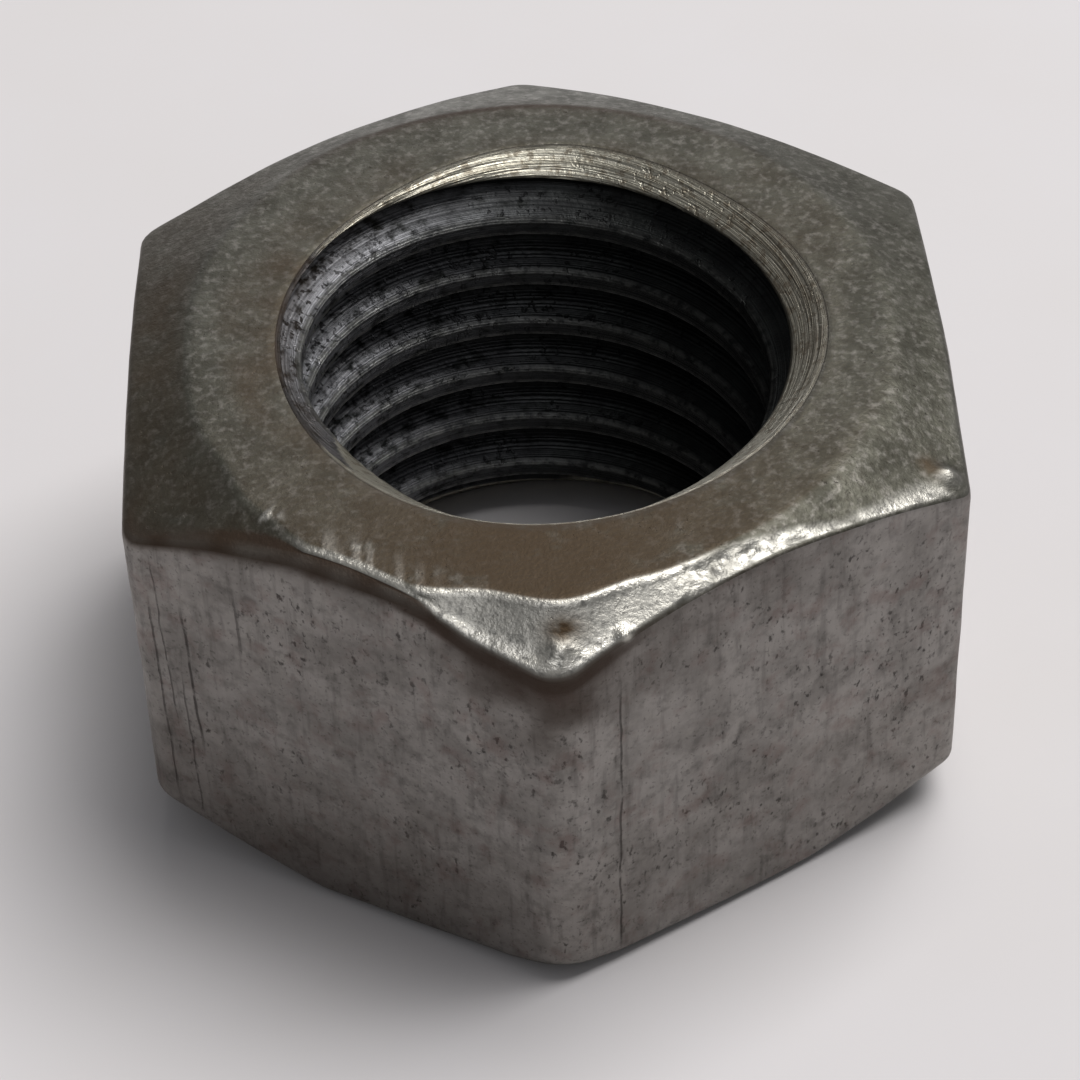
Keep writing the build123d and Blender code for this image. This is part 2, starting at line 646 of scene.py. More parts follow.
    def lip(self, angle: float) -> float:
        """Gives the station where the rolled lip's dark side starts.

        Args:
            angle: Angle round the nut, in degrees.

        Returns:
            The station: on the edge by the front corner, and nearer the face to its left.
        """
        return 3.15 - 1.2 * smooth_step(-104, -112, angle) + 0.85 * smooth_step(-124, -146, angle)

    def wear_and_painted_light(self, point: Vector, angle: float, station: float) -> float:
        """Gives how far a point of the skin is rubbed down to bright steel, from 0 to 1.

        Args:
            point: Place on the skin.
            angle: Its angle round the nut, in degrees.
            station: Its running station down the section.

        Returns:
            The share of bare steel.
        """
        broken = 0.5 + self.broken_waves.at(point)
        if station > self.upper_half:
            corner = self.corner_rub.round(angle % SIDE_TURN - HALF_TURN)
            return (0.15 + 0.45 * corner) * self.lower_edge.at(station) * broken
        fine = 0.5 + self.fine_waves.at(point)
        left_edge = self.left_edge.at(station - self.lip(angle)) * self.left_edge_turn.at(angle)
        facet = self.facet_turn.at(angle) * self.facet_run.at(station)
        rim_line = self.rim_line.at(station) * self.rim_line_turn.at(angle)
        thin_line = self.thin_line.at(station) * self.thin_line_turn.at(angle)
        burrs = sum(lump.at(point) / lump.height for lump in (self.burr, self.side_burr, self.tip_burr))
        burrs += 0.60 * self.corner_lump.at(point) / self.corner_lump.height
        along = Vector((point.x / self.scratch_gap, point.y / self.scratch_length, 4.0))
        scratched = smooth_step(-0.10, 0.25, noise.noise(along))
        scratched *= self.scratched_turn.round(angle) * self.scratched_run.at(station)
        scuffs = self.front_scuff.at(point) + self.left_scuff.at(point)
        scuffs *= smooth_step(0.1, 0.4, self.scuff_waves.at(point))
        bright = max(
            left_edge * (0.80 + 0.2 * broken),
            0.85 * rim_line,
            0.5 * facet,
            self.hammered(angle, station) * (0.12 + 0.75 * fine),
            thin_line * (0.35 + 0.5 * fine),
            0.25 * self.upper_edge.at(station) * broken,
            0.65 * scratched,
            0.8 * scuffs,
            burrs,
        )
        return min(bright, 1.0)

    def dark(self, point: Vector, angle: float, station: float) -> float:
        """Gives how dark a point of the skin is, from 0 to 1: old scale with painted shade under the rolled
        lip, a dark line round the back where the face meets the chamfer, and the left-front flat darker
        towards its lower edge, as oil stain and painted shade.

        Args:
            point: Place on the skin.
            angle: Its angle round the nut, in degrees.
            station: Its running station down the section.

        Returns:
            The share of the dark tone, old scale and painted shade together.
        """
        if station > self.upper_half:
            # The left-front flat darker towards its lower edge: oil stain and painted shade.
            return 0.4 * smooth_step(4.62, 4.95, station) * self.lower_stain_and_shade_turn.round(angle)
        # Old scale with painted shade in the band under the rolled lip.
        start = self.lip(angle)
        end = 3.55 + 0.45 * smooth_step(-114, -100, angle) + self.lip_scale_and_shade_waves.at(point)
        under_lip = self.lip_scale_and_shade_turn.at(angle) * (1 - 0.7 * smooth_step(-86, -74, angle))
        under_lip *= Band(start, start + 0.2, end - 0.1, end + 0.25).at(station)
        back_ring = 0.9 * self.back_ring.at(station) * self.back_ring_turn.round(angle)
        return max(under_lip, back_ring)

    def mouth_stain(self, point: Vector, angle: float, depth: float) -> float:
        """Gives how brown a point of the bore's mouth has turned, from 0 to 1.

        Args:
            point: Place in the bore.
            angle: Its angle round the nut, in degrees.
            depth: How far it lies below the upper face.

        Returns:
            The share of brown stain.
        """
        near = smooth_step(*self.mouth_depth, depth)
        sides = sum(strength * turn.round(angle) for strength, turn in self.mouth_stains)
        return near * min(sides, 1.0) * (0.8 + self.mouth_waves.at(point))

    def rust(self, point: Vector, angle: float, station: float) -> float:
        """Gives how brown a point of the skin has turned, from 0 to 1.5.

        Args:
            point: Place on the skin.
            angle: Its angle round the nut, in degrees.
            station: Its running station down the section.

        Returns:
            The share of brown stain.
        """
        if station > 4.6:
            return self.side_rust
        spot = self.rust_spot.at(point) + 0.8 * self.corner_notch.at(point)
        left = self.left_stain_turn.round(angle) * self.stained_chamfer.at(station)
        left *= 0.7 + self.left_stain_waves.at(point)
        front = 1.15 * self.front_stain_turn.round(angle) * smooth_step(1.6, 1.2, station)
        mouth = smooth_step(*self.rim_stain_radii, hypot(point.x, point.y))
        mouth *= 0.35 + 0.65 * self.rim_stain_turn.round(angle)
        mouth *= 0.6 + self.rim_stain_waves.at(point)
        right = 0.5 * self.right_stain_turn.round(angle) * smooth_step(1.6, 0.4, station)
        right *= 0.6 + self.right_stain_waves.at(point)
        return min(max(1.5 * spot, left, right, front, mouth, 0.0), self.deepest_rust)


@dataclass
class NutBody:
    """The whole nut: its skin and its bore, joined at two worn rims."""

    box: tuple[Vector, Vector]
    minor_r: float
    mouths: tuple[Countersink, Countersink] = (
        Countersink(11.76, ((2.14, -96, 54), (1.69, 84, 32), (1.6, -6, 61))),
        Countersink(13.3),
    )
    rim_wear: float = 0.12
    lit_side: Line = Line(168, 46)                        # the bore's side that faces the light, painted lighter: painted light
    crest_line: float = 0.125                             # from a crest's middle to its edges, in pitches
    crest_fade: float = 0.05
    crest_rub: float = 0.13                               # how rubbed the crests are all round
    lit_crest_highlight: float = 0.72                           # and how much painted highlight they get on the side that faces the light
    flat_zone: tuple[float, float] = (3.45, 5.5)          # stations that have the flats' finish
    marks: ForgeMarks = field(default_factory=ForgeMarks)

    def __post_init__(self) -> None:
        """Takes the sizes from the frame's box."""
        low, high = self.box
        self.across_flats = (high.x - low.x) / MM
        self.height = (high.z - low.z) / MM
        self.skin = ForgedHexagon(self.across_flats, self.height, self.mouths, self.rim_wear)
        self.bore = TappedBore(self.height, self.minor_r, self.mouths, self.rim_wear)
        self.last_station = len(self.skin.rows)

    def build(self) -> bpy.types.Object:
        """Makes the nut's closed mesh.

        Returns:
            The piece, at the origin, in metres.
        """
        shell = bmesh.new()
        add_mesh(shell, self.skin.build())
        add_mesh(shell, self.bore.build())
        for name in ("wear_and_painted_light", "dark", "rust", "crest"):
            shell.verts.layers.float.new(name)
        shell.verts.layers.float_vector.new("helix")
        self._join(shell)
        bmesh.ops.recalc_face_normals(shell, faces=shell.faces[:])
        shell.normal_update()
        self._mark(shell)
        self._zone(shell)
        bmesh.ops.scale(shell, vec=(MM, MM, MM), verts=shell.verts[:])
        mesh = bpy.data.meshes.new("nut_body")
        shell.to_mesh(mesh)
        shell.free()
        mesh.polygons.foreach_set("use_smooth", [True] * len(mesh.polygons))
        piece = bpy.data.objects.new("nut_body", mesh)
        bpy.context.collection.objects.link(piece)
        return piece

    def _join(self, shell: bmesh.types.BMesh) -> None:
        """Bridges the skin to the bore at both rims.

        Args:
            shell: The mesh that holds both, open at the rims.
        """
        for middle in (0.0, self.height):
            rim = [
                edge for edge in shell.edges
                if edge.is_boundary and abs(edge.verts[0].co.z - middle) < 2 * self.rim_wear
            ]
            bmesh.ops.bridge_loops(shell, edges=rim)

    def _mark(self, shell: bmesh.types.BMesh) -> None:
        """Moves the vertices by the forge marks and stores each one's wear, scale and stain, with the painted
        light of the bore's lit side and the painted shade that share those masks.

        Args:
            shell: The closed mesh, with a layer for each mask.
        """
        layers = shell.verts.layers
        station, in_bore = layers.float["station"], layers.float["bore"]
        wear_and_painted_light, dark, rust, crest = (layers.float[name] for name in ("wear_and_painted_light", "dark", "rust", "crest"))
        helix = layers.float_vector["helix"]
        half_flats = self.across_flats / 2
        half_corners = (self.box[1].y - self.box[0].y) / MM / 2
        moves = []
        for vert in shell.verts:
            point = vert.co.copy()
            angle = degrees(atan2(point.y, point.x))
            if vert[in_bore]:
                phase = self.bore.phase(point)
                vert[helix] = Vector((cos(2 * pi * phase), sin(2 * pi * phase), 0))
                lit = self.lit_side.round(angle)
                line = smooth_step(self.crest_fade, 0.0, abs(abs(phase - 0.5) - self.crest_line))
                # Rubbed crests all round, and a painted highlight on them on the side that faces the light.
                vert[crest] = line * (self.crest_rub + self.lit_crest_highlight * lit)
                # In the bore this mask holds painted light alone: the side that faces the light is painted
                # lighter.
                vert[wear_and_painted_light] = lit
                vert[rust] = self.marks.mouth_stain(point, angle, self.height - point.z)
                continue
            moves.append((vert, self.marks.relief(point, angle, vert[station])))
            vert[wear_and_painted_light] = self.marks.wear_and_painted_light(point, angle, vert[station])
            vert[dark] = self.marks.dark(point, angle, vert[station])
            vert[rust] = self.marks.rust(point, angle, vert[station])
        for vert, height in moves:
            if not 0 < vert[station] < self.last_station:
                continue
            vert.co += vert.normal * height
            vert.co.z = min(max(vert.co.z, 0.0), self.height)
            vert.co.x = min(max(vert.co.x, -half_flats), half_flats)
            vert.co.y = min(max(vert.co.y, -half_corners), half_corners)

    def _zone(self, shell: bmesh.types.BMesh) -> None:
        """Gives each face the finish of its zone.

        Args:
            shell: The closed mesh.
        """
        station, in_bore = shell.verts.layers.float["station"], shell.verts.layers.float["bore"]
        first, last = self.flat_zone
        for face in shell.faces:
            if any(vert[in_bore] for vert in face.verts):
                face.material_index = Zone.BORE.value
            else:
                middle = sum(vert[station] for vert in face.verts) / len(face.verts)
                face.material_index = (Zone.FLATS if first < middle < last else Zone.ENDS).value


def linear(code: str) -> tuple[float, float, float, float]:
    """Turns an sRGB hex colour to linear.

    Args:
        code: Six hex digits.

    Returns:
        Red, green, blue and an alpha of 1.
    """
    parts = [int(code[index: index + 2], 16) / 255 for index in (0, 2, 4)]
    return (*[part / 12.92 if part <= 0.04045 else ((part + 0.055) / 1.055) ** 2.4 for part in parts], 1.0)


def add_node(
    tree: bpy.types.NodeTree, kind: str, inputs: dict | None = None, **settings: object,
) -> bpy.types.Node:
    """Adds a node with its settings, and fills its inputs with values or links.

    Args:
        tree: The tree that the node goes into.
        kind: Its Blender type name.
        inputs: Value or output socket for each input, by name or number.
        settings: The node's own options.

    Returns:
        The new node.
    """
    node = tree.nodes.new(kind)
    for option, value in settings.items():
        setattr(node, option, value)
    for key, value in (inputs or {}).items():
        if isinstance(value, bpy.types.NodeSocket):
            tree.links.new(value, node.inputs[key])
        else:
            node.inputs[key].default_value = value
    return node


@dataclass(frozen=True)
class Pattern:
    """Soft patches of noise: their width in millimetres and the noise levels that bound them."""

    size: float
    low: float                       # noise level below which there is nothing
    high: float                      # noise level above which the patch is full
    detail: float = 2.0              # octaves of finer detail
    stretch: tuple[float, float, float] = (1, 1, 1)      # how many times longer a patch is along each axis
    shift: float = 0.0               # moves the pattern, so that two of one size differ


@dataclass
class Coat:
    """A surface while its layers go on: its colour, roughness and height in millimetres so far."""

    tree: bpy.types.NodeTree
    place: bpy.types.NodeSocket
    colour: bpy.types.NodeSocket
    roughness: bpy.types.NodeSocket
    height: bpy.types.NodeSocket

    def patches(self, pattern: Pattern, path: bpy.types.NodeSocket | None = None) -> bpy.types.NodeSocket:
        """Draws a pattern.

        Args:
            pattern: Its size and levels.
            path: Coordinates to use in place of the object's own, in millimetres.

        Returns:
            A mask from 0 to 1.
        """
        scale = tuple((1 if path else 1 / MM) / (pattern.size * longer) for longer in pattern.stretch)
        start = (pattern.shift, 0.7 * pattern.shift, -pattern.shift)
        laid = add_node(
            self.tree, "ShaderNodeMapping", {"Vector": path or self.place, "Scale": scale, "Location": start},
        )
        grain = add_node(
            self.tree, "ShaderNodeTexNoise",
            {"Vector": laid.outputs[0], "Scale": 1.0, "Detail": pattern.detail, "Roughness": 0.6},
        )
        ramp = add_node(
            self.tree, "ShaderNodeMapRange",
            {"Value": grain.outputs[0], "From Min": pattern.low, "From Max": pattern.high},
            interpolation_type="SMOOTHSTEP",
        )
        return ramp.outputs[0]

    def times(self, mask: bpy.types.NodeSocket, other: bpy.types.NodeSocket | float) -> bpy.types.NodeSocket:
        """Multiplies a mask by another one or by a number."""
        return add_node(self.tree, "ShaderNodeMath", {0: mask, 1: other}, operation="MULTIPLY").outputs[0]

    def stored(self, name: str) -> bpy.types.NodeSocket:
        """Reads a mask stored on the mesh."""
        return add_node(self.tree, "ShaderNodeAttribute", attribute_name=name).outputs["Fac"]

    def lay(
        self, mask: bpy.types.NodeSocket, tone: str, roughness: float | None = None, strength: float = 1.0,
    ) -> None:
        """Covers the surface with a tone where a mask says so.

        Args:
            mask: Where the layer shows.
            tone: Its colour, as sRGB hex.
            roughness: Its roughness, if it has its own.
            strength: How much of it covers at most.
        """
        share = self.times(mask, strength)
        self.colour = add_node(
            self.tree, "ShaderNodeMix", {0: share, 6: self.colour, 7: linear(tone)}, data_type="RGBA",
        ).outputs[2]
        if roughness is not None:
            self.roughness = add_node(
                self.tree, "ShaderNodeMix", {0: share, 2: self.roughness, 3: roughness},
            ).outputs[0]

    def emboss(self, pattern: bpy.types.NodeSocket, depth: float) -> None:
        """Raises the surface by a pattern times a height.

        Args:
            pattern: Where the surface rises, from 0 to 1.
            depth: How far it rises where the pattern is 1, in millimetres; below 0 it sinks.
        """
        self.height = add_node(
            self.tree, "ShaderNodeMath", {0: pattern, 1: depth, 2: self.height}, operation="MULTIPLY_ADD",
        ).outputs[0]


@dataclass(frozen=True)
class Score:
    """A long scratch across one flat: the flat's angle, where it runs and its half width, in millimetres."""

    flat: float
    along: float
    lean: float
    low: float
    high: float
    half_width: float
    darkness: float
    drift: float = 0.16              # how far it wanders from a straight line
    fade: float = 1.5                # length of the fade at each end
    depth_band: tuple[float, float] = (1.6, 1.2)         # how far under the flat the mask starts and is full
    wander: Pattern = Pattern(2.5, 0.2, 0.8)
    breaks: Pattern = Pattern(0.7, 0.25, 0.5)

    def mask(self, coat: Coat, half_flats: float) -> bpy.types.NodeSocket:
        """Draws the scratch.

        Args:
            coat: The surface it is drawn on.
            half_flats: Distance from the axis to the flat, in millimetres.

        Returns:
            A mask from 0 to 1.
        """
        tree = coat.tree
        outward = Vector((cos(radians(self.flat)), sin(radians(self.flat)), 0))
        across = Vector((-outward.y, outward.x, self.lean)) / MM
        wobble = coat.patches(replace(self.wander, shift=self.along))
        run = add_node(
            tree, "ShaderNodeVectorMath", {0: coat.place, 1: across}, operation="DOT_PRODUCT",
        ).outputs["Value"]
        drifted = add_node(
            tree, "ShaderNodeMath", {0: wobble, 1: self.drift, 2: run}, operation="MULTIPLY_ADD",
        ).outputs[0]
        middle = self.along + self.drift / 2
        off = add_node(tree, "ShaderNodeMath", {0: drifted, 1: middle}, operation="SUBTRACT").outputs[0]
        away = add_node(tree, "ShaderNodeMath", {0: off}, operation="ABSOLUTE").outputs[0]
        line = add_node(
            tree, "ShaderNodeMapRange",
            {"Value": away, "From Min": self.half_width, "From Max": 0.2 * self.half_width},
            interpolation_type="SMOOTHSTEP",
        ).outputs[0]
        depth = add_node(
            tree, "ShaderNodeVectorMath", {0: coat.place, 1: outward / MM}, operation="DOT_PRODUCT",
        ).outputs["Value"]
        starts, full = (half_flats - under for under in self.depth_band)
        on_flat = add_node(
            tree, "ShaderNodeMapRange", {"Value": depth, "From Min": starts, "From Max": full},
        ).outputs[0]
        height = add_node(tree, "ShaderNodeSeparateXYZ", {0: coat.place}).outputs["Z"]
        mask = coat.times(line, on_flat)
        for end, inward in ((self.low, 1), (self.high, -1)):
            inside = add_node(
                tree, "ShaderNodeMapRange",
                {"Value": height, "From Min": end * MM, "From Max": (end + inward * self.fade) * MM},
            ).outputs[0]
            mask = coat.times(mask, inside)
        return coat.times(mask, coat.patches(replace(self.breaks, shift=2 * self.along)))


@dataclass(frozen=True)
class SteelFinish:
    """A finish of the nut's carbon steel: tones as sRGB hex, sizes in millimetres."""

    name: str
    tone: str
    patch_tone: str
    patch: Pattern                   # broad, slightly darker and duller areas
    pit_tone: str
    pit: Pattern                     # holes where scale or metal broke out
    speck: Pattern                   # and smaller dark specks between them
    pit_depth: float
    light_tone: str = "9a9690"
    mottle: Pattern = Pattern(0.7, 0.45, 0.75, 3)
    mottle_strength: float = 0.35
    light_shift: float = 21.0        # the light and the dark mottle differ in place only
    dark_shift: float = 27.0
    grain: Pattern = Pattern(0.22, 0.25, 0.75, 3)
    grain_depth: float = 0.012
    pitted_area: Pattern = Pattern(4.5, 0.42, 0.60, 1, shift=3)
    roughness: float = 0.5
    metallic: float = 0.9
    # old scale and painted shade, laid where the dark mask says so
    scale_and_shade_tone: str = "43372f"
    scale_and_shade_roughness: float = 0.72
    scale_and_shade_strength: float = 0.94
    rubbed_tone: str = "868580"      # steel rubbed through its scale
    rubbed_roughness: float = 0.42
    rubbed_strength: float = 0.85
    rubbed_from: tuple[float, float] = (0.05, 0.55)      # wear at which it starts and is full
    bare_tone: str = "e2dfd4"        # steel freshly knocked bright
    bare_roughness: float = 0.28
    bare_speckle: Pattern = Pattern(0.35, 0.28, 0.5, 2, shift=9)
    bare_lumps: Pattern = Pattern(0.5, 0.2, 0.8, 3, shift=12)
    bare_lump_height: float = 0.04
    rust_tone: str = "4e4032"
    rust_roughness: float = 0.6
    rust_strength: float = 0.8
    rust_cover: Pattern = Pattern(1.6, 0.08, 0.5, 4, shift=8)

    def build(self) -> bpy.types.Material:
        """Makes the material.

        Returns:
            The finished material.
        """
        material = bpy.data.materials.new(self.name)
        material.use_nodes = True
        tree = material.node_tree
        tree.nodes.clear()
        place = add_node(tree, "ShaderNodeTexCoord").outputs["Object"]
        colour = add_node(tree, "ShaderNodeRGB")
        colour.outputs[0].default_value = linear(self.tone)
        flat = add_node(tree, "ShaderNodeValue")
        flat.outputs[0].default_value = 0.0
        dull = add_node(tree, "ShaderNodeValue")
        dull.outputs[0].default_value = self.roughness
        coat = Coat(tree, place, colour.outputs[0], dull.outputs[0], flat.outputs[0])
        self.weather(coat)
        self.detail(coat)
        self.wear(coat)
        bump = add_node(tree, "ShaderNodeBump", {"Height": coat.height, "Distance": MM, "Strength": 1.0})
        shader = add_node(
            tree, "ShaderNodeBsdfPrincipled",
            {
                "Base Color": coat.colour, "Roughness": coat.roughness, "Metallic": self.metallic,
                "Normal": bump.outputs[0],
            },
        )
        add_node(tree, "ShaderNodeOutputMaterial", {"Surface": shader.outputs[0]})
        return material

    def weather(self, coat: Coat) -> None:
        """Lays the patches, the mottle, the grain and the pits that all of the finishes have.

        Args:
            coat: The surface that they go on.
        """
        coat.lay(coat.patches(self.patch), self.patch_tone, self.roughness + 0.08)
        for tone, shift in ((self.light_tone, self.light_shift), (self.pit_tone, self.dark_shift)):
            coat.lay(coat.patches(replace(self.mottle, shift=shift)), tone, None, self.mottle_strength)
        coat.emboss(coat.patches(self.grain), self.grain_depth)
        pits = coat.times(coat.patches(self.pit), coat.patches(self.pitted_area))
        coat.lay(coat.patches(self.speck), self.pit_tone, 0.7, 0.30)
        coat.lay(pits, self.pit_tone, 0.75, 0.70)
        coat.emboss(pits, -self.pit_depth)

    def detail(self, coat: Coat) -> None:
        """Adds what only this finish has.

        Args:
            coat: The surface that it goes on.
        """

    def wear(self, coat: Coat) -> None:
        """Lays old scale with painted shade, bright bare steel and brown stain where the mesh says so.

        Args:
            coat: The surface that they go on.
        """
        # Old scale, and painted shade under the rolled lip and low on the left-front flat.
        coat.lay(coat.stored("dark"), self.scale_and_shade_tone, self.scale_and_shade_roughness, self.scale_and_shade_strength)
        wear_and_painted_light = coat.stored("wear_and_painted_light")
        starts, full = self.rubbed_from
        rubbed = add_node(
            coat.tree, "ShaderNodeMapRange", {"Value": wear_and_painted_light, "From Min": starts, "From Max": full},
        ).outputs[0]
        coat.lay(rubbed, self.rubbed_tone, self.rubbed_roughness, self.rubbed_strength)
        bare = coat.times(coat.times(wear_and_painted_light, wear_and_painted_light), coat.patches(self.bare_speckle))
        coat.lay(bare, self.bare_tone, self.bare_roughness)
        coat.emboss(coat.times(wear_and_painted_light, coat.patches(self.bare_lumps)), self.bare_lump_height)
        self.stain(coat)

    def stain(self, coat: Coat) -> None:
        """Lays the brown stain where the mesh says so."""
        stained = coat.times(coat.stored("rust"), coat.patches(self.rust_cover))
        coat.lay(stained, self.rust_tone, self.rust_roughness, self.rust_strength)


@dataclass(frozen=True)
class ForgedScale(SteelFinish):
    """Hot-forged flats: thin oxide scale, pitted, oiled and scored."""

    half_flats: float = 19.05
    red_tone: str = "6d5752"
    red_scale: Pattern = Pattern(1.5, 0.50, 0.72, 4, shift=33)
    red_strength: float = 0.40
    drips: Pattern = Pattern(0.45, 0.50, 0.72, 3, (1, 1, 7), shift=41)
    drip_strength: float = 0.28
    score_roughness: float = 0.7
    score_depth: float = 0.08
    scores: tuple[Score, ...] = (
        Score(-60, -8.1, -0.017, 0.6, 18.2, 0.08, 0.6),
        Score(-120, -7.7, 0.03, 7.0, 16.5, 0.11, 0.7),
        Score(-120, -8.3, 0.03, 2.0, 12.0, 0.07, 0.4),
        Score(-120, -8.9, 0.035, 8.0, 19.0, 0.06, 0.45),
        Score(-120, -9.6, 0.02, 3.0, 16.5, 0.08, 0.5),
        Score(-120, -5.2, 0.0, 14.0, 19.0, 0.10, 0.45),
    )

    def detail(self, coat: Coat) -> None:
        """Adds reddish scale, upright drips of dried oil and the long scratches.

        Args:
            coat: The surface that they go on.
        """
        coat.lay(coat.patches(self.red_scale), self.red_tone, None, self.red_strength)
        coat.lay(coat.patches(self.drips), self.pit_tone, None, self.drip_strength)
        for score in self.scores:
            mask = score.mask(coat, self.half_flats)
            coat.lay(mask, self.pit_tone, self.score_roughness, score.darkness)
            coat.emboss(mask, -self.score_depth)


@dataclass(frozen=True)
class TappedSteel(SteelFinish):
    """The bore: a thread dark with cutting oil and painted shade, rubbed on its crests and painted lighter on
    its lit side, between bright countersunk cones.
    """

    # rubbed steel on the crests, with a painted highlight on the lit side
    crest_wear_and_highlight_tone: str = "b4b5b0"
    # painted light: the tone of the bore's side that faces the light
    lit_tone: str = "a3a4a8"
    cone_tone: str = "bab7a9"
    cone_line_tone: str = "8f8a7a"
    cone_stain_tone: str = "5d5140"
    lit_patches: Pattern = Pattern(0.9, 0.30, 0.55, 3, (1, 1, 0.5), shift=18)
    lit_patch_roughness: float = 0.42
    streak: Pattern = Pattern(0.16, 0.3, 0.7)             # along the helix, whose circle has a radius of 1
    streak_height: float = 0.03
    hole: Pattern = Pattern(0.35, 0.56, 0.64, shift=25)
    crest_rub: Pattern = Pattern(0.5, 0.30, 0.60, 3, shift=4)
    crest_roughness: float = 0.38
    cone_roughness: float = 0.33
    ring: Pattern = Pattern(0.24, 0.3, 0.7)               # the countersink's lines, by depth alone
    ring_height: float = 0.04
    cone_dirt: Pattern = Pattern(0.45, 0.5, 0.62, 3, shift=14)

    def detail(self, coat: Coat) -> None:
        """Adds the painted light on the side that faces the light, the tap's streaks, the crests (rubbed,
        with a painted highlight on the lit side) and the countersunk cones.

        Args:
            coat: The surface that they go on.
        """
        # Painted light: the side that faces the light is painted lighter, in patches, and its pits show
        # there.
        wear_and_painted_light = coat.stored("wear_and_painted_light")
        coat.lay(coat.times(wear_and_painted_light, coat.patches(self.lit_patches)), self.lit_tone, self.lit_patch_roughness, 0.85)
        helix = add_node(coat.tree, "ShaderNodeAttribute", attribute_name="helix").outputs["Vector"]
        streaks = coat.patches(self.streak, path=helix)
        coat.emboss(streaks, self.streak_height)
        coat.lay(streaks, self.patch_tone, None, 0.5)
        coat.lay(coat.times(wear_and_painted_light, coat.patches(self.hole)), self.pit_tone, 0.7, 0.9)
        # Rubbed crests, brighter on the lit side as a painted highlight.
        rubbed = coat.times(coat.stored("crest"), coat.patches(self.crest_rub))
        coat.lay(rubbed, self.crest_wear_and_highlight_tone, self.crest_roughness)
        self.countersink(coat)

    def countersink(self, coat: Coat) -> None:
        """Lays the bright cones, with the drill's rings and some dirt.

        Args:
            coat: The surface that they go on.
        """
        cone = coat.stored("cone")
        coat.lay(cone, self.cone_tone, self.cone_roughness)
        parts = add_node(coat.tree, "ShaderNodeSeparateXYZ", {0: coat.place})
        height = add_node(coat.tree, "ShaderNodeCombineXYZ", {"Z": parts.outputs["Z"]})
        depth = add_node(
            coat.tree, "ShaderNodeVectorMath", {0: height.outputs[0], "Scale": 1 / MM}, operation="SCALE",
        )
        rings = coat.times(cone, coat.patches(self.ring, path=depth.outputs[0]))
        coat.emboss(rings, self.ring_height)
        coat.lay(rings, self.cone_line_tone, None, 0.7)
        coat.lay(coat.times(cone, coat.patches(self.cone_dirt)), self.cone_stain_tone, 0.5, 0.6)

    def wear(self, coat: Coat) -> None:
        """Lays the brown stain alone, since the bore has no forged edges."""
        self.stain(coat)


@dataclass(frozen=True)
class SoftLight:
    """A soft square light: its place and its side in metres, its power in watts and its colour."""

    name: str
    place: tuple[float, float, float]
    side: float
    power: float
    tone: str

    def hang(self) -> bpy.types.Object:
        """Hangs the light, turned to the nut.

        Returns:
            The light.
        """
        data = bpy.data.lights.new(self.name, "AREA")
        data.shape = "SQUARE"
        data.size = self.side
        data.energy = self.power
        data.color = linear(self.tone)[:3]
        lamp = bpy.data.objects.new(self.name, data)
        bpy.context.collection.objects.link(lamp)
        lamp.location = self.place
        lamp.rotation_euler = (-Vector(self.place)).to_track_quat("-Z", "Y").to_euler()
        return lamp


